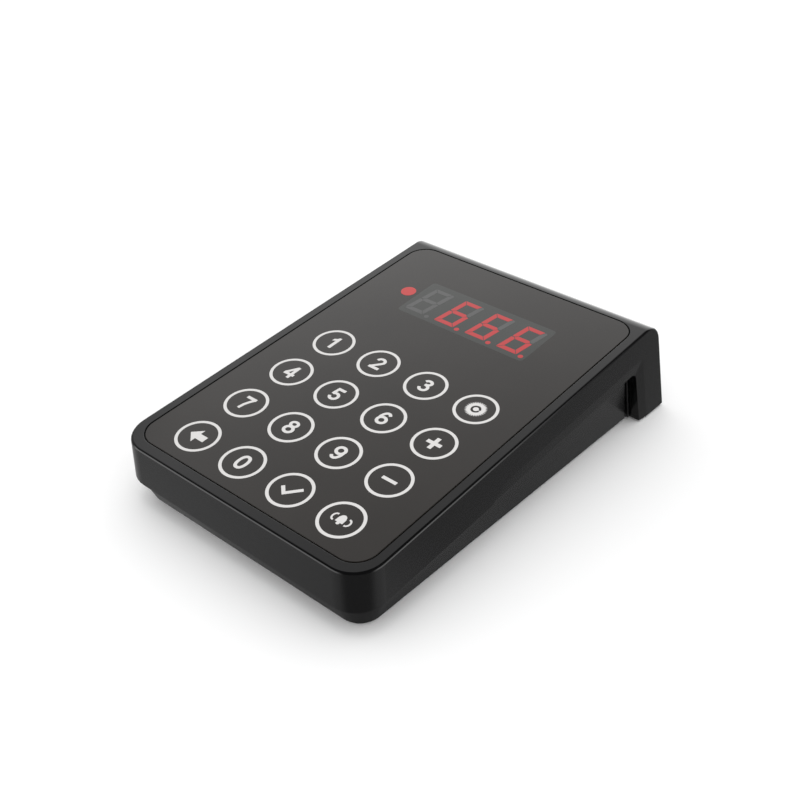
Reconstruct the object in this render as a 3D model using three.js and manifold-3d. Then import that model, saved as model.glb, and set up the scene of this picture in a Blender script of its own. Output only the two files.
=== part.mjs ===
// Desktop call keypad: a wedge-shaped table unit with a flush touch panel of sixteen printed
// keys, a four-digit LED display, a status LED, and a rear wall that carries the power inlet
// and the on/off rocker. Units are millimetres, +Z is up, the user sits on the -Y side, and
// the origin is at the middle of the footprint, on the table.

import * as THREE from 'three';
import { mergeVertices } from 'three/addons/utils/BufferGeometryUtils.js';
import Module from 'manifold-3d';

const wasm = await Module();
wasm.setup();

// ---------------------------------------------------------------- driving dimensions

const DEG = Math.PI / 180;
const GAP = 0.35;                 // clearance between neighbouring pieces
const WALL = 2.2;                 // moulded wall thickness of the top cover

const TILT = 5.7 * DEG;           // slope of the touch panel above the table
const FOOT_LIFT = 0.8;            // how far the rubber feet hold the case off the table
const PANEL_HEIGHT = 27.9 + FOOT_LIFT;  // height of the panel's centre above the table

const KEY_PITCH = 19;             // distance between key centres, both ways
const KEY_ROW_Y = 2.6;            // the first key row, from the panel's centre

const PANEL = { halfX: 44.25, halfY: 64.7, radius: 6.8, thickness: 1.5 };
const LEDGE_WIDTH = 6;            // rim of the cover that the panel is bonded to
const LEDGE_TOP = -2.55;
const DECK_BOTTOM = -4.4;

const TOP = { halfX: 47.14, front: 68.015, radius: 9.05 };   // flat top face of the cover
const EDGE_ROUND = 0.75;          // rounding of the top edge
const SIDE_DRAFT = Math.tan(2 * DEG);
const FRONT_DRAFT = Math.tan(TILT);                      // front wall stands upright
const REAR_ROUND = 8;             // large rounding between top face and rear wall
const REAR_ROUND_START = 65;
const REAR_LEAN = 9 * DEG;        // rear wall, from square to the panel
const REAR_CORNER = 0.8;

const SKIRT_BOTTOM = -13.2;       // lower edge of the cover, from the panel face
const LEG_FRONT = 59.5;           // front edge of the rear leg at the skirt's lower edge
const LEG_INNER_X = 44.6;
const LEG_FILLET = 2;             // rounding between the skirt's lower edge and the leg
const BEVEL_WIDTH = 4;            // shallow bevel round the side recess
const BEVEL_DEPTH = 0.4;
const BEVEL_START = -16;
const BEVEL_FULL = -9;

const BASE = { halfX: 44.4, front: 64, rear: 64.2, radius: 6.7, wall: 2, floor: 2 };
const BASE_SEAM_INSET = 1.3;
const BASE_SEAM_REAR = 54.8;      // rear end of the base's side wall, at the seam
const NECK = { inset: 2.8, seamRear: 61.5, rear: 66.4 };   // closes the gap before the leg
const BASE_RIB = { x0: 42.2, x1: 45.2, width: 0.8 };       // stands in that gap, by the leg

const BOARD = { halfX: 42, front: -61.5, rear: 66, top: -10.1, thickness: 1.6 };
const DISPLAY = { x: 0, y: 38.6, width: 50.3, height: 19, radius: 0.8 };
const STATUS_LED = { x: -28.7, y: 38.8, radius: 2.5 };

const BOARD_SCREWS = [[-39.5, -28], [39.5, -28], [-39.5, 42], [39.5, 42]];
const BASE_SCREWS = [[-38.6, -57.2], [38.6, -57.2], [-38.6, 57], [38.6, 57]];
const FEET = [[-27, -54], [27, -54], [-27, 58], [27, 58]];

const SCREW = { headRadius: 2.5, headHeight: 1.6, shank: 1.15, seat: 2.9, sink: 2.4 };
const JACK = {
  x: -21, z: -18, width: 9, height: 11, front: 57, rear: 71, bore: 3.2, wallHole: 4.4,
};
const SWITCH = { x: 21, z: -19, width: 9, height: 13.4, depth: 12, bezel: 1.5 };

// ---------------------------------------------------------------- frames

const root = new THREE.Group();
const tilted = new THREE.Group();          // frame of the panel, origin at its centre
tilted.rotation.x = TILT;
tilted.position.z = PANEL_HEIGHT;
tilted.updateMatrix();
root.add(tilted);

const toTilted = tilted.matrix.clone().invert();

// Height, square to the panel, of a level world plane at a place y along the panel.
function levelInTilted(y, worldZ) {
  return (worldZ - PANEL_HEIGHT - y * Math.sin(TILT)) / Math.cos(TILT);
}

// Outer face of the rear wall at a depth z below the panel.
const ROUND_END_Y = REAR_ROUND_START + REAR_ROUND * Math.cos(REAR_LEAN);
const ROUND_END_Z = -REAR_ROUND * (1 - Math.sin(REAR_LEAN));

function rearFace(z) {
  if (z > ROUND_END_Z) {
    const rise = REAR_ROUND + z;
    return REAR_ROUND_START + Math.sqrt(REAR_ROUND * REAR_ROUND - rise * rise);
  }
  return ROUND_END_Y + (ROUND_END_Z - z) * Math.tan(REAR_LEAN);
}

// Front edge of the leg, parallel to the rear wall.
function legFace(z) {
  return LEG_FRONT + (SKIRT_BOTTOM - z) * Math.tan(REAR_LEAN);
}

// ---------------------------------------------------------------- solids and meshes

function solidOf(geometry) {
  const plain = geometry.clone();
  plain.deleteAttribute('normal');
  plain.deleteAttribute('uv');
  const merged = mergeVertices(plain, 1e-4);
  return new wasm.Manifold(new wasm.Mesh({
    numProp: 3,
    vertProperties: new Float32Array(merged.attributes.position.array),
    triVerts: new Uint32Array(merged.index.array),
  }));
}

function geometryOf(solid) {
  const mesh = solid.getMesh();
  const geometry = new THREE.BufferGeometry();
  geometry.setAttribute('position', new THREE.BufferAttribute(mesh.vertProperties, 3));
  geometry.setIndex(new THREE.BufferAttribute(mesh.triVerts, 1));
  geometry.computeVertexNormals();
  return geometry;
}

function addMesh(parent, name, shape, material) {
  const geometry = shape.isBufferGeometry ? shape : geometryOf(shape);
  const mesh = new THREE.Mesh(geometry, material);
  mesh.name = name;
  parent.add(mesh);
  return mesh;
}

// Skin through rings of equal point count, closed by a flat cap at each end. `flatten` gives
// the two coordinates in which a ring is a simple outline.
function loft(rings, flatten = (p) => new THREE.Vector2(p.x, p.y)) {
  const count = rings[0].length;
  const points = rings.flat();
  const index = [];
  for (let ring = 0; ring < rings.length - 1; ring += 1) {
    for (let i = 0; i < count; i += 1) {
      const a = ring * count + i;
      const b = ring * count + (i + 1) % count;
      index.push(a, b, b + count, a, b + count, a + count);
    }
  }
  const caps = [rings[0], rings[rings.length - 1]];
  caps.forEach((ring, end) => {
    const start = end * (rings.length - 1) * count;
    const contour = ring.map(flatten);
    const clockwise = THREE.ShapeUtils.isClockWise(contour);
    for (const face of THREE.ShapeUtils.triangulateShape(contour, [])) {
      const turned = clockwise === (end === 0) ? face : face.slice().reverse();
      index.push(...turned.map((corner) => corner + start));
    }
  });
  if (signedVolume(points, index) < 0) {
    index.reverse();
  }
  const geometry = new THREE.BufferGeometry().setFromPoints(points);
  geometry.setIndex(index);
  return solidOf(geometry);
}

function signedVolume(points, index) {
  let volume = 0;
  for (let i = 0; i < index.length; i += 3) {
    const [a, b, c] = [points[index[i]], points[index[i + 1]], points[index[i + 2]]];
    volume += a.dot(new THREE.Vector3().crossVectors(b, c)) / 6;
  }
  return volume;
}

function box(x0, x1, y0, y1, z0, z1) {
  const geometry = new THREE.BoxGeometry(x1 - x0, y1 - y0, z1 - z0);
  geometry.translate((x0 + x1) / 2, (y0 + y1) / 2, (z0 + z1) / 2);
  return solidOf(geometry);
}

// Upright cylinder between two heights.
function disc(x, y, z0, z1, radius, segments = 16) {
  const geometry = new THREE.CylinderGeometry(radius, radius, z1 - z0, segments);
  geometry.rotateX(Math.PI / 2);
  geometry.translate(x, y, (z0 + z1) / 2);
  return solidOf(geometry);
}

// Lying cylinder along Y.
function rod(x, z, y0, y1, radius, segments = 16) {
  const geometry = new THREE.CylinderGeometry(radius, radius, y1 - y0, segments);
  geometry.translate(x, (y0 + y1) / 2, z);
  return solidOf(geometry);
}

// Plan outline, symmetric about X = 0, with its own radius at the front and rear corners.
function outline(halfX, front, rear, frontRadius, rearRadius) {
  const shape = new THREE.Shape();
  const quarter = Math.PI / 2;
  shape.absarc(-halfX + frontRadius, front + frontRadius, frontRadius, 2 * quarter, 3 * quarter);
  shape.absarc(halfX - frontRadius, front + frontRadius, frontRadius, 3 * quarter, 4 * quarter);
  shape.absarc(halfX - rearRadius, rear - rearRadius, rearRadius, 0, quarter);
  shape.absarc(-halfX + rearRadius, rear - rearRadius, rearRadius, quarter, 2 * quarter);
  return shape;
}

const ARC_STEPS = 5;                // each quarter turn has twice as many facets

function ringOf(shape, z) {
  return shape.getPoints(ARC_STEPS).map((p) => new THREE.Vector3(p.x, p.y, z));
}

function slab(shape, z0, z1) {
  return loft([ringOf(shape, z0), ringOf(shape, z1)]);
}

function roundedBox(x, y, width, depth, radius, z0, z1) {
  const solid = slab(outline(width / 2, -depth / 2, depth / 2, radius, radius), z0, z1);
  return solid.translate([x, y, 0]);
}

// Everything above, or below, a level plane of the table's frame, as seen by the tilted frame.
const REACH = 120;

function levelSlab(z0, z1) {
  const geometry = new THREE.BoxGeometry(2 * REACH, 2 * REACH, z1 - z0);
  geometry.translate(0, 0, (z0 + z1) / 2);
  geometry.applyMatrix4(toTilted);
  return solidOf(geometry);
}

function worldBox(x0, x1, y0, y1, z0, z1) {
  const geometry = new THREE.BoxGeometry(x1 - x0, y1 - y0, z1 - z0);
  geometry.translate((x0 + x1) / 2, (y0 + y1) / 2, (z0 + z1) / 2);
  geometry.applyMatrix4(toTilted);
  return solidOf(geometry);
}

// ---------------------------------------------------------------- materials

function finish(color, roughness, metalness = 0) {
  return new THREE.MeshStandardMaterial({ color, roughness, metalness });
}

// ---------------------------------------------------------------- case outline

// Plan outline of the case at a depth z below the panel face, moved in by `inset`.
function caseOutline(z, inset) {
  const depth = Math.min(-z, EDGE_ROUND);
  const rise = EDGE_ROUND - depth;
  const round = Math.sqrt(EDGE_ROUND * EDGE_ROUND - rise * rise);
  const below = Math.max(-z - EDGE_ROUND, 0);
  const halfX = TOP.halfX + round + below * SIDE_DRAFT - inset;
  const front = -(TOP.front + round + below * FRONT_DRAFT - inset);
  const frontRadius = TOP.radius + round - inset;
  const rearRadius = Math.max(REAR_CORNER - inset, 0.3);
  return outline(halfX, front, rearFace(z) - inset, frontRadius, rearRadius);
}

const SIDE_BOTTOM = -42;          // deeper than the table at every place
const ROUND_LEVELS = [
  0, -0.03, -0.12, -0.26, -0.45, -EDGE_ROUND, -1.6, -2.2, -3.6, -5.2, ROUND_END_Z,
];

function caseSolid() {
  const levels = [...ROUND_LEVELS, SIDE_BOTTOM];
  return loft(levels.map((z) => ringOf(caseOutline(z, 0), z)));
}

// Hollow of the case below the deck, or a body that fits inside it with extra clearance.
function hollow(extra, top = DECK_BOTTOM) {
  const inset = WALL + extra;
  const levels = [top, -6, -8, SIDE_BOTTOM];
  return loft(levels.map((z) => ringOf(caseOutline(z, inset), z)));
}

function sideWall(z) {
  return TOP.halfX + EDGE_ROUND + (-z - EDGE_ROUND) * SIDE_DRAFT;
}

function frontWall(z) {
  return TOP.front + EDGE_ROUND + (-z - EDGE_ROUND) * FRONT_DRAFT;
}

// ---------------------------------------------------------------- top cover

// Solid between two side planes, from its outline seen along X.
function sideSlab(section, x0, x1) {
  const ring = (x) => section.map(([y, z]) => new THREE.Vector3(x, y, z));
  return loft([ring(x0), ring(x1)], (p) => new THREE.Vector2(p.y, p.z));
}

// Space under the skirt and in front of the legs.
function underbody() {
  const corner = [0, 1, 2, 3, 4].map((step) => {
    const angle = (step / 4) * (Math.PI / 2);
    const z = SKIRT_BOTTOM - LEG_FILLET * (1 - Math.cos(angle));
    return [legFace(z) - LEG_FILLET * (1 - Math.sin(angle)), z];
  });
  const section = [
    [-REACH, SKIRT_BOTTOM],
    ...corner,
    [legFace(SIDE_BOTTOM), SIDE_BOTTOM],
    [-REACH, SIDE_BOTTOM],
  ];
  return sideSlab(section, -REACH, REACH);
}

// Shallow bevel along the skirt's lower edge and down the front of one leg.
function sideBevel(side) {
  const upper = SKIRT_BOTTOM + BEVEL_WIDTH;
  const inner = [
    [BEVEL_START, SKIRT_BOTTOM],
    [BEVEL_FULL, SKIRT_BOTTOM],
    [legFace(SKIRT_BOTTOM), SKIRT_BOTTOM],
    [legFace(SIDE_BOTTOM), SIDE_BOTTOM],
    [BEVEL_START, SIDE_BOTTOM],
  ];
  const outer = [
    [BEVEL_START, SKIRT_BOTTOM],
    [BEVEL_FULL, upper],
    [legFace(upper) + BEVEL_WIDTH, upper],
    [legFace(SIDE_BOTTOM) + BEVEL_WIDTH, SIDE_BOTTOM],
    [BEVEL_START, SIDE_BOTTOM],
  ];
  const ring = (section, out) => section.map(([y, z]) => {
    return new THREE.Vector3(side * (sideWall(z) + out), y, z);
  });
  const rings = [ring(inner, -BEVEL_DEPTH), ring(outer, 0), ring(outer, 2 * BEVEL_DEPTH)];
  return loft(rings, (p) => new THREE.Vector2(p.y, p.z));
}

function panelOutline(offset) {
  const { halfX, halfY, radius } = PANEL;
  return outline(halfX + offset, -halfY - offset, halfY + offset, radius + offset, radius + offset);
}

const POST_RADIUS = 3.1;
const POST_HOLE = 1.55;
const BOARD_POST_RADIUS = 3;
const BOARD_POST_HOLE = 1.45;
const BASE_BOSS_TOP = FOOT_LIFT + 4;

function topCover() {
  let space = hollow(0);
  for (const side of [-1, 1]) {
    const [x0, x1] = side < 0 ? [-REACH, -LEG_INNER_X] : [LEG_INNER_X, REACH];
    space = space.subtract(box(x0, x1, LEG_FRONT, REACH, SIDE_BOTTOM, SKIRT_BOTTOM));
  }
  let cover = caseSolid().subtract(space).subtract(underbody());
  cover = cover.subtract(slab(panelOutline(GAP), LEDGE_TOP, 5));
  cover = cover.subtract(slab(panelOutline(-LEDGE_WIDTH), DECK_BOTTOM - 1, 0));
  for (const side of [-1, 1]) {
    cover = cover.subtract(sideBevel(side));
  }
  for (const [x, y] of BOARD_SCREWS) {
    cover = cover.add(disc(x, y, BOARD.top + GAP, DECK_BOTTOM + 0.5, BOARD_POST_RADIUS));
    cover = cover.subtract(disc(x, y, BOARD.top - 1, DECK_BOTTOM + 0.4, BOARD_POST_HOLE, 12));
  }
  for (const [x, y] of BASE_SCREWS) {
    const post = disc(x, y, SIDE_BOTTOM, DECK_BOTTOM + 0.5, POST_RADIUS);
    cover = cover.add(post.intersect(levelSlab(BASE_BOSS_TOP + GAP, REACH)));
    const mouth = levelInTilted(y, BASE_BOSS_TOP);
    cover = cover.subtract(disc(x, y, mouth - 2, mouth + 8, POST_HOLE, 12));
  }
  cover = cover.subtract(rod(JACK.x, JACK.z, JACK.rear - 3, REACH, JACK.wallHole, 20));
  cover = cover.subtract(switchCutout());
  return cover.subtract(levelSlab(-REACH, FOOT_LIFT));
}

// ---------------------------------------------------------------- power switch

const switchFrame = new THREE.Group();     // +Z out of the rear wall, +Y down along it
switchFrame.position.set(SWITCH.x, rearFace(SWITCH.z), SWITCH.z);
switchFrame.rotation.x = REAR_LEAN - Math.PI / 2;
switchFrame.updateMatrix();
tilted.add(switchFrame);

function switchCutout() {
  const halfX = SWITCH.width / 2 + GAP;
  const halfY = SWITCH.height / 2 + GAP;
  const geometry = new THREE.BoxGeometry(2 * halfX, 2 * halfY, 8);
  geometry.applyMatrix4(switchFrame.matrix);
  return solidOf(geometry);
}

const ROCKER = {
  halfX: 3.05, halfY: 5, pivot: -1, crown: 1.8, tip: 2.5, pin: 0.7, pinReach: 3.95,
  throw: 8 * DEG,
};

function switchBody() {
  const { width, height, depth, bezel } = SWITCH;
  let body = roundedBox(0, 0, width, height, 0.6, -depth, GAP + 0.5);
  body = body.add(roundedBox(0, 0, width + 2.4, height + 2.4, 1, GAP, GAP + bezel));
  const well = roundedBox(0, 0, 2 * (ROCKER.halfX + GAP), 2 * (ROCKER.halfY + 0.8), 0.4, -3.4, 5);
  body = body.subtract(well);
  const pins = new THREE.CylinderGeometry(1.05, 1.05, 2 * (ROCKER.pinReach + 0.2), 12);
  pins.rotateZ(Math.PI / 2);
  pins.translate(0, 0, ROCKER.pivot);
  body = body.subtract(solidOf(pins));
  for (const y of [-4.5, 0, 4.5]) {
    body = body.add(box(-2.2, 2.2, y - 0.4, y + 0.4, -depth - 5, -depth + 0.5));
  }
  return body;
}

function rocker() {
  const { halfX, halfY, pivot, crown, tip, pin, pinReach } = ROCKER;
  const profile = new THREE.Shape();
  profile.moveTo(-halfY, tip);
  profile.quadraticCurveTo(0, 2 * crown - tip, halfY, tip);
  profile.lineTo(halfY, 0.2);
  profile.lineTo(1.4, pivot - 1.4);
  profile.lineTo(-1.4, pivot - 1.4);
  profile.lineTo(-halfY, 0.2);
  const settings = { depth: 2 * halfX, bevelEnabled: false, curveSegments: 10 };
  const paddle = new THREE.ExtrudeGeometry(profile, settings);
  paddle.translate(0, 0, -halfX);
  paddle.rotateY(Math.PI / 2);
  paddle.rotateX(Math.PI / 2);
  const pins = new THREE.CylinderGeometry(pin, pin, 2 * pinReach, 12);
  pins.rotateZ(Math.PI / 2);
  pins.translate(0, 0, pivot);
  return solidOf(paddle).add(solidOf(pins));
}

// ---------------------------------------------------------------- bottom cover

const SEAM_Z = SKIRT_BOTTOM - GAP;

// Tapered body between the seam, parallel to the panel, and a level plane above the table.
function baseBody(inset, worldZ, seamRear, levelRear, top) {
  const seamHalf = sideWall(SEAM_Z) - BASE_SEAM_INSET - inset;
  const seamFront = -(frontWall(SEAM_Z) - BASE_SEAM_INSET - inset);
  const seam = outline(seamHalf, seamFront, seamRear, TOP.radius - inset, 0.5);
  const { halfX, front, radius } = BASE;
  const level = outline(halfX - inset, -front + inset, levelRear, radius - inset, 0.5);
  const rings = [
    ringOf(level, worldZ).map((p) => p.applyMatrix4(toTilted)),
    ringOf(seam, SEAM_Z),
  ];
  if (top > SEAM_Z) {
    rings.push(ringOf(seam, top));
  }
  return loft(rings);
}

function baseLip() {
  const ring = (inset) => {
    const levels = [SEAM_Z - 0.65, SKIRT_BOTTOM + 2.3];
    return loft(levels.map((z) => ringOf(caseOutline(z, inset), z)));
  };
  const lip = ring(WALL + GAP).subtract(ring(WALL + GAP + 1.5));
  return lip.intersect(box(-REACH, REACH, -REACH, BASE_SEAM_REAR - 2, -20, 0));
}

function baseRib(side) {
  const { x0, x1, width } = BASE_RIB;
  const top = SKIRT_BOTTOM - LEG_FILLET - GAP;
  const section = [
    [legFace(top) - GAP - width, top],
    [legFace(top) - GAP, top],
    [legFace(SIDE_BOTTOM) - GAP, SIDE_BOTTOM],
    [legFace(SIDE_BOTTOM) - GAP - width, SIDE_BOTTOM],
  ];
  return sideSlab(section, side * x0, side * x1).intersect(levelSlab(FOOT_LIFT, REACH));
}

function bottomCover() {
  const floorTop = FOOT_LIFT + BASE.floor;
  const { wall, rear } = BASE;
  let base = baseBody(0, FOOT_LIFT, BASE_SEAM_REAR, rear, SEAM_Z);
  base = base.add(baseBody(NECK.inset, FOOT_LIFT, NECK.seamRear, NECK.rear, SEAM_Z));
  const inside = baseBody(wall, floorTop, BASE_SEAM_REAR - wall, rear - wall, SEAM_Z + 1);
  base = base.subtract(inside);
  base = base.subtract(worldBox(-42.1, 42.1, 45, REACH, floorTop, REACH));
  const reach = LEG_INNER_X - GAP;
  const tongue = worldBox(-reach, reach, 50, REACH, FOOT_LIFT, floorTop);
  base = base.add(tongue.intersect(hollow(GAP)));
  base = base.add(baseRib(-1)).add(baseRib(1));
  base = base.add(baseLip());
  for (const [x, y] of BASE_SCREWS) {
    const boss = disc(x, y, SIDE_BOTTOM, -15, 4.4);
    base = base.add(boss.intersect(levelSlab(FOOT_LIFT, BASE_BOSS_TOP)));
    const seat = disc(x, y, SIDE_BOTTOM, -15, SCREW.seat);
    base = base.subtract(seat.intersect(levelSlab(-REACH, FOOT_LIFT + SCREW.sink)));
    base = base.subtract(disc(x, y, SIDE_BOTTOM, -15, POST_HOLE, 12));
  }
  for (const [x, y] of FEET) {
    const recess = new THREE.CylinderGeometry(5.2, 5.2, 1.6, 20);
    recess.rotateX(Math.PI / 2);
    recess.translate(x, y, FOOT_LIFT);
    recess.applyMatrix4(toTilted);
    base = base.subtract(solidOf(recess));
  }
  return base;
}

// ---------------------------------------------------------------- fasteners and feet

// Pan-head screw standing head down, its seat at z = 0.
function screw(length) {
  const { headRadius, headHeight, shank } = SCREW;
  let solid = disc(0, 0, -headHeight, 0, headRadius).add(disc(0, 0, -0.4, length, shank, 12));
  for (const turn of [0, 1]) {
    const [x, y] = turn ? [0.35, 1.5] : [1.5, 0.35];
    solid = solid.subtract(box(-x, x, -y, y, -headHeight - 1, -headHeight + 0.8));
  }
  return solid;
}

function foot() {
  const profile = [[0, 0], [4.2, 0], [4.8, 0.5], [4.8, 1.25], [0, 1.25]];
  const geometry = new THREE.LatheGeometry(profile.map(([x, y]) => new THREE.Vector2(x, y)), 20);
  return solidOf(geometry.rotateX(Math.PI / 2));
}

// ---------------------------------------------------------------- electronics

const UNDER = BOARD.top - BOARD.thickness - GAP;   // seat of the parts below the board
const PANEL_BACK = -PANEL.thickness;

function board() {
  const { halfX, front, rear, top, thickness } = BOARD;
  let plate = slab(outline(halfX, front, rear, 3, 3), top - thickness, top);
  for (const [x, y] of BASE_SCREWS) {
    const xs = [Math.sign(x) * (Math.abs(x) - 4), Math.sign(x) * 50].sort((a, b) => a - b);
    const [y0, y1] = y < 0 ? [-70, y + 4] : [y - 4, y + 4];
    plate = plate.subtract(box(xs[0], xs[1], y0, y1, -20, 0));
  }
  for (const [x, y] of BOARD_SCREWS) {
    plate = plate.subtract(disc(x, y, -20, 0, 1.6, 12));
  }
  return plate;
}

class Helix extends THREE.Curve {
  constructor(radius, length, turns) {
    super();
    Object.assign(this, { radius, length, turns });
  }

  getPoint(t, target = new THREE.Vector3()) {
    const angle = 2 * Math.PI * this.turns * t;
    const { radius, length } = this;
    return target.set(radius * Math.cos(angle), radius * Math.sin(angle), length * t);
  }
}

function coil(radius, length, turns, wire, steps) {
  const section = new THREE.Shape();
  section.absarc(0, 0, wire, 0, 2 * Math.PI);
  const extrudePath = new Helix(radius, length, turns);
  const geometry = new THREE.ExtrudeGeometry(section, { steps, curveSegments: 3, extrudePath });
  return solidOf(geometry);
}

function keySpring() {
  const wire = 0.3;
  const bottom = BOARD.top + GAP + wire;
  const length = PANEL_BACK - GAP - wire - bottom;
  return coil(3.2, length, 3.5, wire, 22).translate([0, 0, bottom]);
}

function statusLed() {
  const { radius } = STATUS_LED;
  const height = 6.2;
  const profile = [[0, 0], [radius + 0.4, 0], [radius + 0.4, 1], [radius, 1]];
  for (let i = 0; i <= 4; i += 1) {
    const angle = (i / 4) * (Math.PI / 2);
    profile.push([radius * Math.cos(angle), height - radius * (1 - Math.sin(angle))]);
  }
  profile[profile.length - 1][0] = 0;
  const geometry = new THREE.LatheGeometry(profile.map(([x, y]) => new THREE.Vector2(x, y)), 16);
  geometry.rotateX(Math.PI / 2);
  return solidOf(geometry).translate([STATUS_LED.x, STATUS_LED.y, PANEL_BACK - GAP - height]);
}

function ledSpacer() {
  const profile = [[1, 0], [2.4, 0], [2.4, 1.3], [1, 1.3], [1, 0]];
  const geometry = new THREE.LatheGeometry(profile.map(([x, y]) => new THREE.Vector2(x, y)), 16);
  geometry.rotateX(Math.PI / 2);
  return solidOf(geometry).translate([STATUS_LED.x, STATUS_LED.y, BOARD.top + GAP]);
}

// Chip lying under the board, with rows of leads along its long sides.
function chip(x, y, width, depth, height, leads) {
  let body = box(-width / 2, width / 2, -depth / 2, depth / 2, -height, -0.2);
  const pitch = (width - 1.4) / (leads - 1);
  for (let i = 0; i < leads; i += 1) {
    const at = -width / 2 + 0.7 + i * pitch;
    body = body.add(box(at - 0.25, at + 0.25, -depth / 2 - 1, depth / 2 + 1, -1, -0.7));
  }
  return body.translate([x, y, UNDER]);
}

function buzzer() {
  const [x, y] = [27, -18];
  const can = disc(x, y, UNDER - 8.5, UNDER, 6, 20);
  return can.subtract(disc(x, y, UNDER - 9, UNDER - 5, 1.1, 10));
}

function radioModule() {
  const card = box(-34, -14, 4, 19, UNDER - 1, UNDER);
  return card.add(roundedBox(-25, 11.5, 13, 12, 0.6, UNDER - 3, UNDER - 0.9));
}

function capacitor() {
  const foot = box(2, 10.4, 45.8, 54.2, UNDER - 1.2, UNDER);
  return foot.add(disc(6.2, 50, UNDER - 10, UNDER - 1, 4, 20));
}

function powerJack() {
  const { x, z, width, height, front, rear, bore } = JACK;
  let body = box(x - width / 2, x + width / 2, front, rear, z - height / 2, z + height / 2);
  return body.subtract(rod(x, z, front + 4, rear + 1, bore, 20));
}

// ---------------------------------------------------------------- assembly

const blackPlastic = () => finish(0x141415, 0.32);
const steel = () => finish(0xb4b6b8, 0.35, 1);
const epoxy = () => finish(0x1a1b1d, 0.5);

addMesh(tilted, 'top_cover', topCover(), blackPlastic());
addMesh(tilted, 'bottom_cover', bottomCover(), finish(0x161617, 0.45));

const pane = slab(panelOutline(0), -PANEL.thickness, 0);
addMesh(tilted, 'touch_panel', pane, finish(0x2b2a29, 0.12));

const tapeOuter = slab(panelOutline(-0.6), LEDGE_TOP + GAP, PANEL_BACK - GAP);
const tapeInner = slab(panelOutline(0.6 - LEDGE_WIDTH), LEDGE_TOP, 0);
addMesh(tilted, 'panel_adhesive', tapeOuter.subtract(tapeInner), finish(0x101010, 0.8));

addMesh(tilted, 'main_board', board(), finish(0x1f5a33, 0.45));

const KEY_NAMES = [
  ['1', '2', '3', 'settings'],
  ['4', '5', '6', 'plus'],
  ['7', '8', '9', 'minus'],
  ['back', '0', 'confirm', 'call'],
];
KEY_NAMES.forEach((row, down) => row.forEach((key, across) => {
  const spring = keySpring();
  const x = (across - 1.5) * KEY_PITCH;
  const y = KEY_ROW_Y - down * KEY_PITCH;
  addMesh(tilted, `touch_spring_${key}`, spring.translate([x, y, 0]), steel());
}));

const { x: displayX, y: displayY, width: displayW, height: displayH, radius } = DISPLAY;
const readout = roundedBox(displayX, displayY, displayW, displayH, radius,
  BOARD.top + GAP, PANEL_BACK - GAP);
addMesh(tilted, 'led_display', readout, finish(0x5b5e60, 0.4));
addMesh(tilted, 'status_led', statusLed(), finish(0xcc4a4a, 0.25));
addMesh(tilted, 'led_spacer', ledSpacer(), finish(0x202020, 0.6));
addMesh(tilted, 'buzzer', buzzer(), epoxy());
addMesh(tilted, 'radio_module', radioModule(), finish(0x2b5d8a, 0.4));
addMesh(tilted, 'microcontroller', chip(-2, -12, 10, 10, 1.6, 9), epoxy());
addMesh(tilted, 'touch_controller', chip(0, -36, 17.9, 7.5, 2.4, 14), epoxy());
addMesh(tilted, 'voltage_regulator', chip(-18, 46, 6.5, 5.5, 2.4, 3), epoxy());
addMesh(tilted, 'supply_capacitor', capacitor(), finish(0xc2c4c6, 0.35, 1));

const antenna = coil(2.5, 22, 7, 0.4, 50).rotate([0, 90, 0]).translate([-9, 24, UNDER - 3.2]);
addMesh(tilted, 'spring_antenna', antenna, finish(0xb87a3d, 0.3, 1));

addMesh(tilted, 'power_jack', powerJack(), epoxy());
const jackPin = rod(JACK.x, JACK.z, JACK.front + 4 + GAP, JACK.rear - 1, 1, 12);
addMesh(tilted, 'power_jack_pin', jackPin, steel());

addMesh(switchFrame, 'switch_body', switchBody(), finish(0x121212, 0.4));
const paddle = addMesh(switchFrame, 'power_rocker', rocker(), finish(0x181818, 0.3));
paddle.position.z = ROCKER.pivot;
paddle.rotation.x = ROCKER.throw;
paddle.geometry.translate(0, 0, -ROCKER.pivot);

BOARD_SCREWS.forEach(([x, y], i) => {
  const mesh = addMesh(tilted, `board_screw_${i + 1}`, screw(6), steel());
  mesh.position.set(x, y, UNDER);
});

BASE_SCREWS.forEach(([x, y], i) => {
  const mesh = addMesh(tilted, `base_screw_${i + 1}`, screw(8), steel());
  mesh.position.set(x, y, levelInTilted(y, FOOT_LIFT + SCREW.sink) - GAP);
});

FEET.forEach(([x, y], i) => {
  const mesh = addMesh(root, `rubber_foot_${i + 1}`, foot(), finish(0x1b1b1b, 0.9));
  mesh.position.set(x, y, 0);
});

// The middle of the footprint is the origin.
root.updateMatrixWorld(true);
const span = new THREE.Box3().setFromObject(root, true);
root.children.forEach((child) => {
  child.position.y -= (span.min.y + span.max.y) / 2;
});

export default root;
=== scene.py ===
"""Looks of the desktop call keypad: a glossy black wedge case with a flush touch panel, printed
key rings, a red four-digit readout, a rear power inlet and a rocker switch. Metres, CAD frame."""

import math

import bmesh
import bpy
from mathutils import Matrix, Vector
from mathutils.geometry import delaunay_2d_cdt


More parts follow.
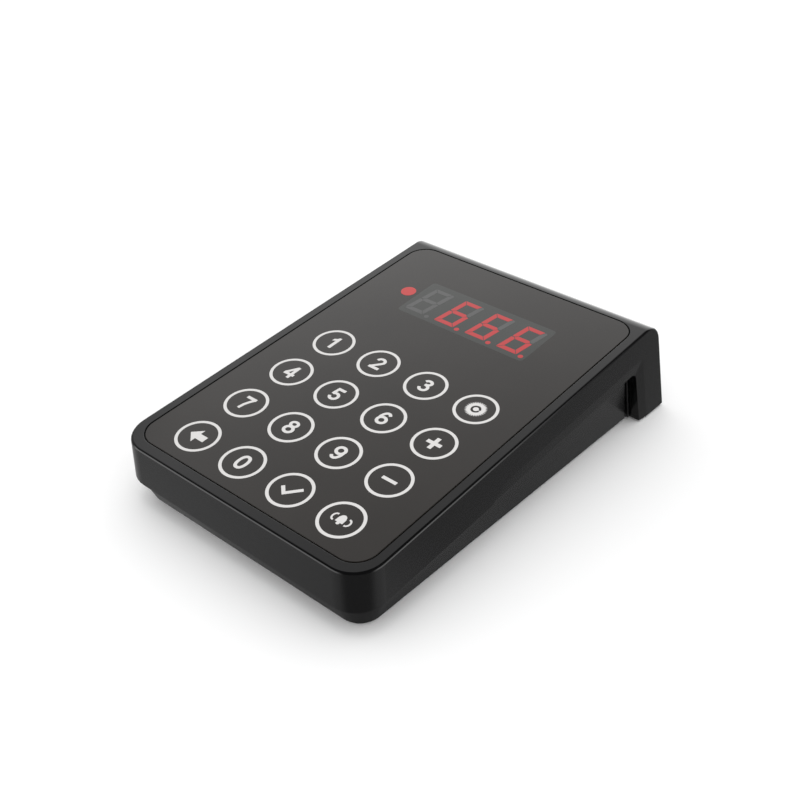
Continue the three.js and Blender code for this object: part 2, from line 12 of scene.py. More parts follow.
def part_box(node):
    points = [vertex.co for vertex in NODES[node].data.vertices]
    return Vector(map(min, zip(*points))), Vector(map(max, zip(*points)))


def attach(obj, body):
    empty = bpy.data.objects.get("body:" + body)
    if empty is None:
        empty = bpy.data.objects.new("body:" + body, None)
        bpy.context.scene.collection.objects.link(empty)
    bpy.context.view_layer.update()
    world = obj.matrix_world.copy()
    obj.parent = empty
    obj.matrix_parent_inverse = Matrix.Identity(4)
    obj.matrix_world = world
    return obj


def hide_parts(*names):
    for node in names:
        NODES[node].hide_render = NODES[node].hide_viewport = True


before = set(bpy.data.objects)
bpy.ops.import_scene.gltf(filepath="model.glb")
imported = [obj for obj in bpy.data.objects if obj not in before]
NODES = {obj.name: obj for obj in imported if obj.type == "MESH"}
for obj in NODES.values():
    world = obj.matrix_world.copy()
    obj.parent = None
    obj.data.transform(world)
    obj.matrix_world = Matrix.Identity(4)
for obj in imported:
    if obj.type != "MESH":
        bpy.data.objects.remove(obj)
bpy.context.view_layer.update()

MM = 0.001
TILT = math.radians(5.7)          # slope of the touch panel above the table
PANE_THICKNESS = 1.5 * MM
KEY_PITCH = 19 * MM
KEY_ROW = 2.6 * MM                # first key row, from the panel's centre
CASE = "case"
ROCKER = "rocker"


# ---------------------------------------------------------------- places

def panel_frame():
    """Frame of the touch panel: origin at the middle of its top face, X right, Y up the slope."""
    low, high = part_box("touch_panel")
    length = (high.y - low.y - PANE_THICKNESS * math.sin(TILT)) / math.cos(TILT)
    middle = Vector((
        (low.x + high.x) / 2,
        low.y + length * math.cos(TILT) / 2,
        high.z - length * math.sin(TILT) / 2,
    ))
    return Matrix.Translation(middle) @ Matrix.Rotation(TILT, 4, "X")


PANEL = panel_frame()
TO_PANEL = PANEL.inverted()


# ---------------------------------------------------------------- materials

class Graph:
    """Builds a node material around one Principled shader."""

    def __init__(self, name):
        self.material = bpy.data.materials.new(name)
        self.material.use_nodes = True
        self.tree = self.material.node_tree
        self.shader = self.tree.nodes["Principled BSDF"]

    def node(self, kind, **values):
        made = self.tree.nodes.new(kind)
        for key, value in values.items():
            made.inputs[key.replace("_", " ")].default_value = value
        return made

    def link(self, source, target):
        self.tree.links.new(source, target)

    def noise(self, scale, detail=3.0, roughness=0.5, stretch=(1, 1, 1)):
        where = self.node("ShaderNodeTexCoord")
        sized = self.node("ShaderNodeMapping", Scale=stretch)
        self.link(where.outputs["Object"], sized.inputs["Vector"])
        made = self.node("ShaderNodeTexNoise", Scale=scale, Detail=detail, Roughness=roughness)
        self.link(sized.outputs["Vector"], made.inputs["Vector"])
        return made.outputs["Fac"]

    def ramp(self, factor, low, high):
        """Spreads the middle of a noise over a range of numbers."""
        made = self.node("ShaderNodeMapRange", From_Min=0.3, From_Max=0.7, To_Min=low, To_Max=high)
        self.link(factor, made.inputs["Value"])
        return made.outputs["Result"]

    def colours(self, factor, low, high):
        """Spreads a noise over a range of colours, into the base colour."""
        made = self.tree.nodes.new("ShaderNodeValToRGB")
        made.color_ramp.elements[0].position = 0.3
        made.color_ramp.elements[0].color = (*low, 1)
        made.color_ramp.elements[1].position = 0.7
        made.color_ramp.elements[1].color = (*high, 1)
        self.link(factor, made.inputs["Fac"])
        self.link(made.outputs["Color"], self.shader.inputs["Base Color"])

    def bump(self, height, distance, strength=1.0):
        made = self.node("ShaderNodeBump", Strength=strength, Distance=distance)
        self.link(height, made.inputs["Height"])
        self.link(made.outputs["Normal"], self.shader.inputs["Normal"])

    def roughness(self, factor, low, high):
        self.link(self.ramp(factor, low, high), self.shader.inputs["Roughness"])

    def set(self, **values):
        for key, value in values.items():
            self.shader.inputs[key.replace("_", " ")].default_value = value


def scaled(colour, factor):
    return tuple(channel * factor for channel in colour)


def plastic(name, colour, rough=(0.2, 0.26), grain=900, depth=0.004 * MM, variation=0.12):
    """Moulded plastic: slight cloudiness in colour and gloss, and a fine skin texture."""
    graph = Graph(name)
    cloud = graph.noise(35, 4, 0.6)
    graph.colours(cloud, scaled(colour, 1 - variation), scaled(colour, 1 + variation))
    graph.roughness(graph.noise(120, 5, 0.65), *rough)
    graph.bump(graph.noise(grain, 2, 0.5), depth)
    graph.set(IOR=1.5)
    return graph.material


def metal(name, colour, rough=(0.22, 0.38), stretch=(1, 1, 14)):
    """Plated or drawn metal with faint streaks along one direction."""
    graph = Graph(name)
    streak = graph.noise(260, 4, 0.6, stretch)
    graph.colours(streak, scaled(colour, 0.86), colour)
    graph.roughness(streak, *rough)
    graph.bump(streak, 0.002 * MM)
    graph.set(Metallic=1.0)
    return graph.material


def glowing(name, colour, strength, base):
    """Diffused light of an LED segment seen through the smoked panel."""
    graph = Graph(name)
    cloud = graph.noise(1400, 2)
    graph.colours(cloud, scaled(base, 0.9), base)
    graph.roughness(graph.noise(300), 0.16, 0.22)
    graph.set(Emission_Color=(*colour, 1), Emission_Strength=strength, IOR=1.5)
    return graph.material


CASE_BLACK = plastic("case_gloss_black", (0.0035, 0.0035, 0.0037), (0.06, 0.1), 700)
BASE_BLACK = plastic("base_satin_black", (0.006, 0.006, 0.0063), (0.2, 0.27), 1400, 0.006 * MM)
PANE_GLOSS = plastic("panel_smoked_acrylic", (0.0165, 0.0142, 0.0125), (0.08, 0.12), 90, 0.002 * MM)
WINDOW_TINT = plastic("readout_window", (0.034, 0.036, 0.034), (0.11, 0.15), 90, 0.002 * MM)
LEGEND_WHITE = plastic("legend_ink", (0.62, 0.61, 0.6), (0.3, 0.36), 2600, 0.002 * MM, 0.02)
SEGMENT_OFF = plastic("segment_unlit", (0.07, 0.07, 0.07), (0.12, 0.16), 1500, 0.001 * MM)
SEGMENT_ON = glowing("segment_lit", (0.85, 0.045, 0.05), 0.42, (0.12, 0.012, 0.013))
LED_RED = glowing("status_red", (0.9, 0.05, 0.05), 0.4, (0.15, 0.012, 0.012))
SWITCH_BLACK = plastic("switch_nylon", (0.013, 0.013, 0.0135), (0.36, 0.46), 1800, 0.012 * MM)
ROCKER_BLACK = plastic("rocker_nylon", (0.017, 0.017, 0.0175), (0.26, 0.34), 1500, 0.008 * MM)
RUBBER = plastic("foot_rubber", (0.018, 0.018, 0.018), (0.75, 0.88), 2400, 0.03 * MM)
CHIP_BLACK = plastic("epoxy_black", (0.02, 0.02, 0.022), (0.45, 0.55), 2000, 0.01 * MM)
BOARD_GREEN = plastic("solder_mask", (0.015, 0.11, 0.04), (0.3, 0.4), 600, 0.006 * MM)
CARD_BLUE = plastic("radio_card", (0.02, 0.09, 0.25), (0.3, 0.4), 600, 0.006 * MM)
TAPE_BLACK = plastic("foam_tape", (0.015, 0.015, 0.015), (0.8, 0.9), 3000, 0.03 * MM)
DISPLAY_GREY = plastic("display_shell", (0.2, 0.21, 0.22), (0.4, 0.5), 1200)
STEEL = metal("plated_steel", (0.62, 0.62, 0.64))
COPPER = metal("copper_wire", (0.75, 0.4, 0.22))
ALUMINIUM = metal("drawn_can", (0.78, 0.79, 0.8))

CARRIED_OVER = {
    "panel_adhesive": TAPE_BLACK,
    "main_board": BOARD_GREEN,
    "led_display": DISPLAY_GREY,
    "status_led": LED_RED,
    "led_spacer": CHIP_BLACK,
    "buzzer": CHIP_BLACK,
    "radio_module": CARD_BLUE,
    "microcontroller": CHIP_BLACK,
    "touch_controller": CHIP_BLACK,
    "voltage_regulator": CHIP_BLACK,
    "supply_capacitor": ALUMINIUM,
    "spring_antenna": COPPER,
    "touch_spring": STEEL,
    "board_screw": STEEL,
}


def dress_carried_over():
    """The CAD nodes that stay get their finished material."""
    for name, node in NODES.items():
        for stem, material in CARRIED_OVER.items():
            if name.startswith(stem):
                node.data.materials.clear()
                node.data.materials.append(material)


# ---------------------------------------------------------------- mesh helpers

def add_piece(name, mesh, material, body):
    obj = bpy.data.objects.new(name, mesh)
    bpy.context.scene.collection.objects.link(obj)
    mesh.materials.clear()
    mesh.materials.append(material)
    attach(obj, body)
    return obj


WELD = 0.001 * MM
FLAT = math.radians(0.4)          # faces that fold less are merged
CORNER = math.radians(28)         # edges that fold more can be rounded
SHARP = math.radians(30)          # edges that fold more keep a crisp shade


def soft_edges(node, name, material, rounds, body=CASE, crease=None):
    """A copy of a CAD node with rounded edges and smooth shading, standing for the node.
    `rounds` pairs a rounding width with the test that picks its edges. `crease` picks further
    edges that keep a crisp shade."""
    bm = bmesh.new()
    bm.from_mesh(NODES[node].data)
    bmesh.ops.remove_doubles(bm, verts=bm.verts, dist=WELD)
    bmesh.ops.dissolve_limit(bm, angle_limit=FLAT, verts=bm.verts, edges=bm.edges)
    for width, pick in rounds:
        corners = [edge for edge in bm.edges if fold(edge) > CORNER and pick(edge)]
        bmesh.ops.bevel(bm, geom=corners, offset=width, segments=3, profile=0.5,
                        affect="EDGES", clamp_overlap=False)
    for face in bm.faces:
        face.smooth = True
    for edge in bm.edges:
        if fold(edge) > SHARP or (crease and crease(edge)):
            edge.smooth = False
    mesh = bpy.data.meshes.new(name)
    bm.to_mesh(mesh)
    bm.free()
    obj = add_piece(name, mesh, material, body)
    normals = obj.modifiers.new("flat_faces", "WEIGHTED_NORMAL")
    normals.keep_sharp = True
    normals.weight = 100
    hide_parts(node)
    return obj


def fold(edge):
    return edge.calc_face_angle(0.0) if len(edge.link_faces) == 2 else 0.0


def panel_points(edge):
    """Both ends of an edge in the panel's frame, in millimetres."""
    return [(TO_PANEL @ vert.co) / MM for vert in edge.verts]


def any_edge(edge):
    return True


# ---------------------------------------------------------------- case

def on_panel_level(edge):
    """The panel opening's rim in the top cover."""
    return all(abs(p.z) < 0.05 for p in panel_points(edge))


def on_leg_front(edge):
    """The outer corner of the leg's front, below the rounding into the skirt."""
    return all(abs(p.x) > 47.3 and 58 < p.y < 66 and p.z < -15.5 for p in panel_points(edge))


def on_skirt_edge(edge):
    """The lower outer edge of the skirt."""
    ends = panel_points(edge)
    low = all(-13.5 < p.z < -13 for p in ends)
    return low and (all(abs(p.x) > 46 for p in ends) or all(p.y < -60 for p in ends))


def on_rear_edge(edge):
    """The outer edges of the rear wall's face."""
    return all(p.y > 73.5 for p in panel_points(edge))


def case_crease(edge):
    """The crisp lines of the top cover: where its flat rim breaks into the edge rounding, and
    where the side wall breaks into the shallow bevel of the recess."""
    ends = panel_points(edge)
    bevel = all(abs(p.x) > 47.5 and p.z < -8.5 and -20 < p.y < 70 for p in ends)
    rim = all(abs(p.z) < 0.01 and p.y < 68 for p in ends)
    return (bevel and fold(edge) > math.radians(3)) or (rim and fold(edge) > math.radians(6))


def make_case():
    rounds = ((0.14 * MM, on_panel_level), (0.6 * MM, on_leg_front), (0.3 * MM, on_skirt_edge),
              (0.25 * MM, on_rear_edge))
    soft_edges("top_cover", "upper_case", CASE_BLACK, rounds, crease=case_crease)
    soft_edges("bottom_cover", "lower_case", BASE_BLACK, ((0.3 * MM, base_edge),))


def base_edge(edge):
    """The lower outer edge of the base."""
    low = min(vert.co.z for vert in edge.verts) / MM
    wide = all(abs(vert.co.x) / MM > 43 or vert.co.y / MM < -69 for vert in edge.verts)
    return low < 1.2 and wide


def make_rear():
    soft_edges("switch_body", "switch_bezel", SWITCH_BLACK,
               ((0.2 * MM, outside_rear),))
    soft_edges("power_rocker", "rocker_paddle", ROCKER_BLACK,
               ((0.25 * MM, outside_rear),), body=ROCKER)
    soft_edges("power_jack", "inlet_body", CHIP_BLACK, ((0.2 * MM, any_edge),))
    soft_edges("power_jack_pin", "inlet_pin", STEEL, ((0.2 * MM, any_edge),))
    for i in range(1, 5):
        soft_edges(f"rubber_foot_{i}", f"foot_pad_{i}", RUBBER,
                   ((0.2 * MM, any_edge),))
        soft_edges(f"base_screw_{i}", f"case_screw_{i}", STEEL,
                   ((0.12 * MM, any_edge),))


def outside_rear(edge):
    """An edge at the face of the rear wall, where the switch can be seen."""
    return all(vert.co.y / MM > 66 for vert in edge.verts)


# ---------------------------------------------------------------- panel and print

def make_pane():
    def upper(edge):
        return all(abs((TO_PANEL @ vert.co).z) < 0.01 * MM for vert in edge.verts)
    soft_edges("touch_panel", "keypad_pane", PANE_GLOSS, ((0.15 * MM, upper),))


PRINT_LOW = 0.004                 # millimetres above the pane
PRINT_HIGH = 0.03


def signed_area(outline):
    pairs = zip(outline, outline[1:] + outline[:1])
    return sum(ax * by - bx * ay for (ax, ay), (bx, by) in pairs) / 2


def printed(name, shapes, material, holes=(), low=PRINT_LOW, high=PRINT_HIGH):
    """Thin printed film on the pane: the union of some outlines, less some holes. The outlines
    are in the pane's millimetres."""
    points, faces = [], []
    for outline in (*shapes, *holes):
        turned = outline if signed_area(outline) > 0 else outline[::-1]
        faces.append(list(range(len(points), len(points) + len(turned))))
        points += [Vector(point) for point in turned]
    corners, _, tiles, _, _, sources = delaunay_2d_cdt(points, [], faces, 1, 1e-5)
    bm = bmesh.new()
    verts = [bm.verts.new((x * MM, y * MM, low * MM)) for x, y in corners]
    for tile, source in zip(tiles, sources):
        if source and max(source) < len(shapes):
            bm.faces.new([verts[i] for i in tile])
    bmesh.ops.delete(bm, geom=[v for v in bm.verts if not v.link_faces], context="VERTS")
    bmesh.ops.dissolve_limit(bm, angle_limit=0.002, verts=bm.verts, edges=bm.edges)
    top = bmesh.ops.extrude_face_region(bm, geom=bm.faces[:])["geom"]
    moved = [item for item in top if isinstance(item, bmesh.types.BMVert)]
    bmesh.ops.translate(bm, vec=(0, 0, (high - low) * MM), verts=moved)
    bmesh.ops.recalc_face_normals(bm, faces=bm.faces)
    bm.transform(PANEL)
    mesh = bpy.data.meshes.new(name)
    bm.to_mesh(mesh)
    bm.free()
    return add_piece(name, mesh, material, CASE)


def circle(x, y, radius, steps=48, start=0.0, end=360.0):
    """Points on an arc, in degrees from the right, turning to the left."""
    full = abs(end - start) >= 360
    count = steps if full else steps - 1
    turn = math.radians(end - start)
    first = math.radians(start)
    return [(x + radius * math.cos(first + turn * i / count),
             y + radius * math.sin(first + turn * i / count)) for i in range(steps)]


def shifted(outline, x, y):
    return [(x + px, y + py) for px, py in outline]


def rounded(x0, x1, y0, y1, radius):
    corners = [(x1 - radius, y1 - radius, 0), (x0 + radius, y1 - radius, 90),
               (x0 + radius, y0 + radius, 180), (x1 - radius, y0 + radius, 270)]
    points = []
    for cx, cy, start in corners:
        points += circle(cx, cy, radius, 7, start, start + 90)
    return points


def oval(x, y, half_x, half_y, start=0.0, end=360.0, steps=24, square=1.0):
    """Points on an ellipse. Below 1, `square` fills its corners out."""
    points = []
    for px, py in circle(0, 0, 1, steps, start, end):
        points.append((x + half_x * math.copysign(abs(px) ** square, px),
                       y + half_y * math.copysign(abs(py) ** square, py)))
    return points


def stroke(path, width):
    """Outline of an open path drawn with a flat-ended pen."""
    sides = ([], [])
    for i, (x, y) in enumerate(path):
        ways = []
        for j in (i, i + 1):
            if 0 < j < len(path):
                (ax, ay), (bx, by) = path[j - 1], path[j]
                length = math.hypot(bx - ax, by - ay)
                ways.append((-(by - ay) / length, (bx - ax) / length))
        nx, ny = sum(w[0] for w in ways), sum(w[1] for w in ways)
        size = math.hypot(nx, ny)
        nx, ny = nx / size, ny / size
        reach = width / 2 / max(nx * ways[0][0] + ny * ways[0][1], 0.5)
        sides[0].append((x + nx * reach, y + ny * reach))
        sides[1].append((x - nx * reach, y - ny * reach))
    return sides[0] + sides[1][::-1]


def bar(x0, x1, y0, y1):
    return [(x0, y0), (x1, y0), (x1, y1), (x0, y1)]


RING_OUTER = 6.84
RING_INNER = 5.88
PEN = 1.0                         # stroke of the printed digits, which stand 5.9 tall
CAP = 2.95                        # half of that height


def plus_sign():
    return [bar(-0.66, 0.66, -2.55, 2.55), bar(-2.55, 2.55, -0.66, 0.66)], []


def minus_sign():
    return [bar(-2.55, 2.55, -0.57, 0.57)], []


def back_arrow():
    tip, neck, tail, wing, shaft = -3.1, 0.0, 3.1, 2.85, 1.15
    return [[(tip, 0), (neck, -wing), (neck, -shaft), (tail, -shaft),
             (tail, shaft), (neck, shaft), (neck, wing)]], []


def check_mark():
    return [stroke([(-2.9, 0.1), (-0.65, -1.95), (3.0, 2.1)], 1.1)], []


def gear_wheel():
    teeth = 28
    rim = []
    for i in range(2 * teeth):
        radius = 3.45 if i % 2 == 0 else 2.7
        angle = math.pi * i / teeth
        rim.append((radius * math.cos(angle), radius * math.sin(angle)))
    ring = [*circle(0, 0, 1.62, 33), *circle(0, 0, 0.88, 33)[::-1]]
    return [rim], [ring]


def call_bell():
    body = [(1.3, -1.15), (1.24, 0.5), *oval(0, 0.6, 1.1, 1.2, 15, 165, 9), (-1.24, 0.5),
            (-1.3, -1.15)]
    shapes = [body, circle(0, -1.45, 0.55, 16)]
    for side in (-1, 1):
        arc = oval(side * 2.1, 0, 0.95, 1.25, -100, 100, 13)
        shapes.append(stroke([(side * 2.1 + side * (x - side * 2.1), y) for x, y in arc], 0.55))
    return shapes, []


def digit_0():
    return [oval(0, 0, 1.98, CAP, square=0.88)], [oval(0, 0, 0.96, 1.95, square=0.92)]


def digit_1():
    flag = [(0.05, CAP), (-0.42, 2.2), (-1.4, 1.62), (-1.4, 0.55), (-0.3, 1.15), (-0.3, -CAP),
            (0.88, -CAP), (0.88, CAP)]
    return [flag], []


def digit_2():
    bowl = oval(0, 1.18, 1.35, 1.2, 178, -38, 15)
    return [stroke([*bowl, (-1.35, -2.3)], PEN), bar(-1.95, 1.95, -CAP, -1.86)], []


def digit_3():
    upper = oval(-0.05, 1.4, 1.2, 0.98, 168, -88, 15)
    lower = oval(-0.05, -1.08, 1.38, 1.3, 86, -168, 17)
    return [stroke(upper, PEN), stroke(lower, PEN), bar(-0.6, 0.2, -0.2, 0.84)], []


def digit_4():
    diagonal = stroke([(0.62, 2.45), (-1.52, -0.9)], PEN)
    return [bar(0.28, 1.36, -CAP, CAP), bar(-2.02, 2.05, -1.68, -0.64), diagonal,
            [(-2.02, -1.68), (-1.2, -1.68), (-1.2, -0.64), (-2.02, -0.56)]], []


def digit_5():
    bowl = oval(0, -1.0, 1.4, 1.38, 140, -166, 19)
    return [stroke(bowl, PEN), bar(-1.3, 1.7, 1.88, CAP),
            [(-1.3, CAP), (-1.72, -0.2), (-0.68, -0.36), (-0.42, 1.9)]], []


def digit_6():
    stem = oval(0.12, 0.0, 1.48, 2.38, 42, 192, 17)
    return [oval(0.02, -1.05, 1.97, 1.9), stroke(stem, PEN)], [oval(0.02, -1.05, 0.93, 0.88)]


def digit_7():
    return [bar(-1.9, 1.92, 1.88, CAP),
            stroke([(1.45, 2.4), (0.55, 0.85), (-0.15, -0.8), (-0.5, -CAP)], PEN)], []


def digit_8():
    shapes = [oval(0, 1.42, 1.74, 1.53), oval(0, -1.12, 1.98, 1.83)]
    return shapes, [oval(0, 1.45, 0.74, 0.58), oval(0, -1.12, 0.93, 0.82)]


def digit_9():
    return [[[(-x, -y) for x, y in outline] for outline in part] for part in digit_6()]


LEGENDS = {
    "0": digit_0, "1": digit_1, "2": digit_2, "3": digit_3, "4": digit_4,
    "5": digit_5, "6": digit_6, "7": digit_7, "8": digit_8, "9": digit_9,
    "settings": gear_wheel,
    "plus": plus_sign,
    "minus": minus_sign,
    "back": back_arrow,
    "confirm": check_mark,
    "call": call_bell,
}
KEY_ROWS = (
    ("1", "2", "3", "settings"),
    ("4", "5", "6", "plus"),
    ("7", "8", "9", "minus"),
    ("back", "0", "confirm", "call"),
)


def make_keys():
    for down, row in enumerate(KEY_ROWS):
        for across, key in enumerate(row):
            x = (across - 1.5) * KEY_PITCH / MM
            y = (KEY_ROW - down * KEY_PITCH) / MM
            ring = circle(x, y, RING_OUTER, 72)
            printed("ring_" + key, [ring], LEGEND_WHITE, [circle(x, y, RING_INNER, 72)])
            shapes, holes = LEGENDS[key]()
            shapes = [shifted(shape, x, y) for shape in shapes]
            holes = [shifted(hole, x, y) for hole in holes]
            printed("legend_" + key, shapes, LEGEND_WHITE, holes)


# ---------------------------------------------------------------- readout

WINDOW = (-24.9, 25.4, 28.95, 48.25)          # left, right, front and rear, on the pane
WINDOW_CORNER = 1.3
WINDOW_LOW = 0.002
WINDOW_HIGH = 0.008
STATUS_LENS = (-28.7, 39.2, 2.58)             # centre and radius
DIGIT_LEFT = (-23.6, -11.07, 1.5, 14.06)      # lower left corner of each digit
DIGIT_BASE = 31.1
DIGIT_TOP = 45.65
DIGIT_WIDTH = 7.8
SLANT = math.tan(math.radians(8))
SEGMENT_WIDTH = 1.7
SEGMENT_GAP = 0.14
SEGMENT_MITRE = 1.1               # how far the top segment stops short of the right one
SEGMENT_LOW = 0.01                # height of the segments' underside, just above the window's tint
POINT_OFFSET = DIGIT_WIDTH + 1.75
POINT_HEIGHT = DIGIT_BASE - 0.05
POINT_RADIUS = 0.86
LIT = {"6": "acdefg"}
READING = (" ", "6", "6", "6")


def segment_shapes():
    """The seven segments of an upright digit, as outlines from its lower left corner."""
    w, h, s, g = DIGIT_WIDTH, DIGIT_TOP - DIGIT_BASE, SEGMENT_WIDTH, SEGMENT_GAP
    mid = h / 2

    def level(y0, y1, low_cut, high_cut):
        return [(low_cut + g, y0), (w - low_cut - g, y0), (w - high_cut - g, y1),
                (high_cut + g, y1)]

    def upright(x_out, x_in, y0, y1, cut):
        return [(x_out, y0 + g), (x_in, y0 + cut), (x_in, y1 - cut), (x_out, y1 - g)]

    half = s / 2
    mitre = w - SEGMENT_MITRE
    return {
        "a": [(s + g, h - s), (w - s - g, h - s), (mitre - g, h), (g, h)],
        "d": level(0, s, 0, s),
        "g": [(half + g, mid), (s + g, mid - half), (w - s - g, mid - half), (w - half - g, mid),
              (w - s - g, mid + half), (s + g, mid + half)],
        "f": [(0, mid + g * 2), (half, mid + g), (s, mid + half + g), (s, h - s - g), (0, h - g)],
        "e": [(0, g), (s, s + g), (s, mid - half - g), (half, mid - g), (0, mid - g * 2)],
        "b": [(w, mid + g * 2), (w - half, mid + g), (w - s, mid + half + g),
              (w - s, h - s - g), (mitre + g, h), (w, h - SEGMENT_GAP * 3)],
        "c": [(w, g), (w - s, s + g), (w - s, mid - half - g), (w - half, mid - g),
              (w, mid - g * 2)],
    }


def slanted(outline, left):
    return [(left + x + y * SLANT, DIGIT_BASE + y) for x, y in outline]


def make_readout():
    printed("readout_window", [rounded(*WINDOW, WINDOW_CORNER)], WINDOW_TINT,
            low=WINDOW_LOW, high=WINDOW_HIGH)
    for place, (digit, left) in enumerate(zip(READING, DIGIT_LEFT), 1):
        for name, outline in segment_shapes().items():
            lit = name in LIT.get(digit, "")
            material = SEGMENT_ON if lit else SEGMENT_OFF
            printed(f"segment_{place}{name}", [slanted(outline, left)], material,
                    low=SEGMENT_LOW)
        point = circle(left + POINT_OFFSET, POINT_HEIGHT, POINT_RADIUS, 28)
        material = SEGMENT_ON if digit != " " else SEGMENT_OFF
        printed(f"segment_{place}p", [point], material, low=SEGMENT_LOW)
    printed("status_lens", [circle(*STATUS_LENS, 48)], LED_RED)


# ---------------------------------------------------------------- floor, light and camera

FLOOR_SIZE = 6.0
BACKDROP = (-0.63, 0.6)           # heading of the bright backdrop, behind and to the left
FLAG = (0.65, -0.76)              # heading of the dark side of the studio
FAR_WALL = (-0.35, 0.94)          # heading of the backdrop's foot, behind the case
LEFT = (-1.0, 0.0)                # heading of the backdrop's dark left edge
REAR = (0.2, 1.0)                 # heading in which the ground falls into half shade
DOME = 1.12                       # strength of the even white light
DIMMEST = 0.02                    # least glow that a reflection can find
SOFTBOX_PLACE = (0.05, -0.1, 0.9)
SOFTBOX_SIZE = (0.5, 0.5)
SOFTBOX_POWER = 1.2
CAMERA_PLACE = (0.1883, -0.2195, 0.2120)
CAMERA_TURN = (56.12, -0.27, 40.58)           # degrees
CAMERA_LENS = 50.35
CAMERA_SHIFT = -0.0163


def make_stage():
    graph = Graph("pale_floor")
    graph.colours(graph.noise(2, 2), (0.9, 0.9, 0.9), (0.93, 0.93, 0.93))
    graph.set(Roughness=0.9)
    bm = bmesh.new()
    bmesh.ops.create_grid(bm, x_segments=1, y_segments=1, size=FLOOR_SIZE)
    mesh = bpy.data.meshes.new("floor")
    bm.to_mesh(mesh)
    bm.free()
    mesh.materials.append(graph.material)
    floor = bpy.data.objects.new("floor", mesh)
    bpy.context.scene.collection.objects.link(floor)
    floor.visible_glossy = False


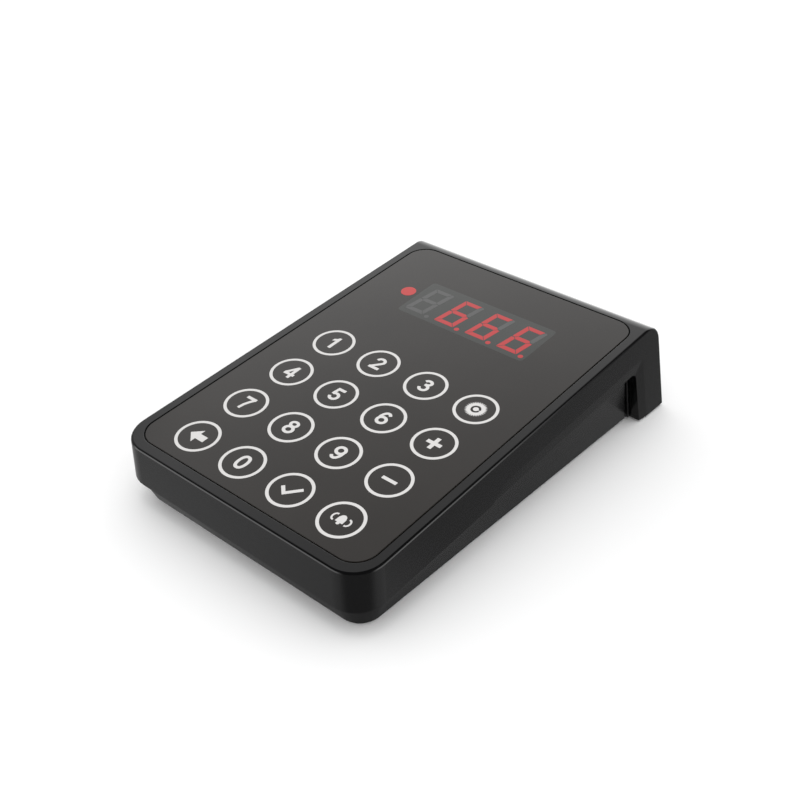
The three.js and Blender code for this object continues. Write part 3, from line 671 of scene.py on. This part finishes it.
class Studio:
    """World shader: an even white dome for soft light, and for reflections a bright backdrop
    that fades upwards, a bright strip at the horizon, and a pale ground with shaded sides."""

    def __init__(self):
        self.world = bpy.data.worlds.new("studio")
        self.world.use_nodes = True
        self.tree = self.world.node_tree
        where = self.tree.nodes.new("ShaderNodeTexCoord")
        self.heading = where.outputs["Generated"]
        self.parts = self.tree.nodes.new("ShaderNodeSeparateXYZ")
        self.tree.links.new(self.heading, self.parts.inputs["Vector"])

    def math(self, operation, first, second):
        made = self.tree.nodes.new("ShaderNodeMath")
        made.operation = operation
        for socket, value in zip(made.inputs, (first, second)):
            if isinstance(value, bpy.types.NodeSocket):
                self.tree.links.new(value, socket)
            else:
                socket.default_value = value
        return made.outputs["Value"]

    def fade(self, value, start, end, low, high):
        made = self.tree.nodes.new("ShaderNodeMapRange")
        made.interpolation_type = "SMOOTHSTEP"
        for name, number in (("From Min", start), ("From Max", end), ("To Min", low),
                             ("To Max", high)):
            made.inputs[name].default_value = number
        self.tree.links.new(value, made.inputs["Value"])
        return made.outputs["Result"]

    def product(self, *factors):
        total = factors[0]
        for factor in factors[1:]:
            total = self.math("MULTIPLY", total, factor)
        return total

    def towards(self, heading):
        """How far the direction looks towards a level heading, from -1 to 1."""
        flat = self.tree.nodes.new("ShaderNodeVectorMath")
        flat.operation = "DOT_PRODUCT"
        flat.inputs[1].default_value = Vector((*heading, 0)).normalized()
        self.tree.links.new(self.heading, flat.inputs[0])
        return flat.outputs["Value"]

    def build(self):
        """The dome for soft light; for reflections the brightest of wall, sweep, horizon and
        ground, each fading with the direction's height and heading."""
        up = self.parts.outputs["Z"]
        behind = self.towards(BACKDROP)
        wall = self.product(self.fade(up, 0.45, 0.85, 1.5, 0.48), self.fade(up, -0.25, 0.05, 0, 1),
                            self.fade(up, 0.83, 0.91, 1, 0), self.fade(behind, 0.25, 0.6, 0, 1),
                            self.fade(self.towards(LEFT), 0.66, 0.76, 1, 0.25))
        sweep = self.product(self.fade(up, -0.7, -0.4, 0, 1.6), self.fade(up, 0.3, 0.5, 1, 0),
                             self.fade(self.towards(FAR_WALL), 0.74, 0.88, 0, 1))
        horizon = self.product(self.fade(up, -0.5, -0.42, 0, 2.0), self.fade(up, 0.3, 0.42, 1, 0),
                               self.fade(self.towards(FLAG), 0.5, 0.8, 1, 0),
                               self.fade(self.towards(REAR), 0.68, 0.84, 1, 0),
                               self.fade(behind, 0.2, 0.5, 1, 0))
        ground = self.product(self.fade(up, -0.25, 0.0, 1.0, 0.0),
                              self.fade(up, -0.88, -0.6, 0.1, 0.4))
        for heading, start, end, dimmed in ((FLAG, 0.36, 0.66, 0.36), (REAR, 0.585, 0.69, 0.47)):
            shade = self.fade(self.towards(heading), start, end, 1.0, dimmed)
            ground = self.math("MULTIPLY", ground, shade)
        glow = ground
        for term in (wall, sweep, horizon):
            glow = self.math("MAXIMUM", glow, term)
        glow = self.math("ADD", glow, DIMMEST)
        paths = self.tree.nodes.new("ShaderNodeLightPath")
        mirrored = paths.outputs["Is Glossy Ray"]
        strength = self.tree.nodes.new("ShaderNodeMix")
        strength.inputs["A"].default_value = DOME
        self.tree.links.new(mirrored, strength.inputs["Factor"])
        self.tree.links.new(glow, strength.inputs["B"])
        background = self.tree.nodes["Background"]
        background.inputs["Color"].default_value = (1, 1, 1, 1)
        self.tree.links.new(strength.outputs["Result"], background.inputs["Strength"])
        bpy.context.scene.world = self.world


def softbox(name, place, target, size, power):
    lamp = bpy.data.lights.new(name, "AREA")
    lamp.shape = "RECTANGLE"
    lamp.size, lamp.size_y = size
    lamp.energy = power
    obj = bpy.data.objects.new(name, lamp)
    obj.location = place
    aim = Vector(target) - Vector(place)
    obj.rotation_euler = aim.to_track_quat("-Z", "Y").to_euler()
    obj.visible_glossy = False
    bpy.context.scene.collection.objects.link(obj)


def make_light():
    Studio().build()
    softbox("overhead", SOFTBOX_PLACE, (0, 0, 0), SOFTBOX_SIZE, SOFTBOX_POWER)


def make_camera():
    """The photograph's viewing angle."""
    data = bpy.data.cameras.new("camera")
    data.lens = CAMERA_LENS
    data.sensor_width = 36
    data.shift_x = CAMERA_SHIFT
    data.clip_start = 0.01
    data.clip_end = 50
    obj = bpy.data.objects.new("camera", data)
    obj.location = CAMERA_PLACE
    obj.rotation_euler = [math.radians(angle) for angle in CAMERA_TURN]
    bpy.context.scene.collection.objects.link(obj)
    bpy.context.scene.camera = obj
    bpy.context.scene.view_settings.view_transform = "Standard"


dress_carried_over()
make_case()
make_pane()
make_rear()
make_keys()
make_readout()
make_stage()
make_light()
make_camera()
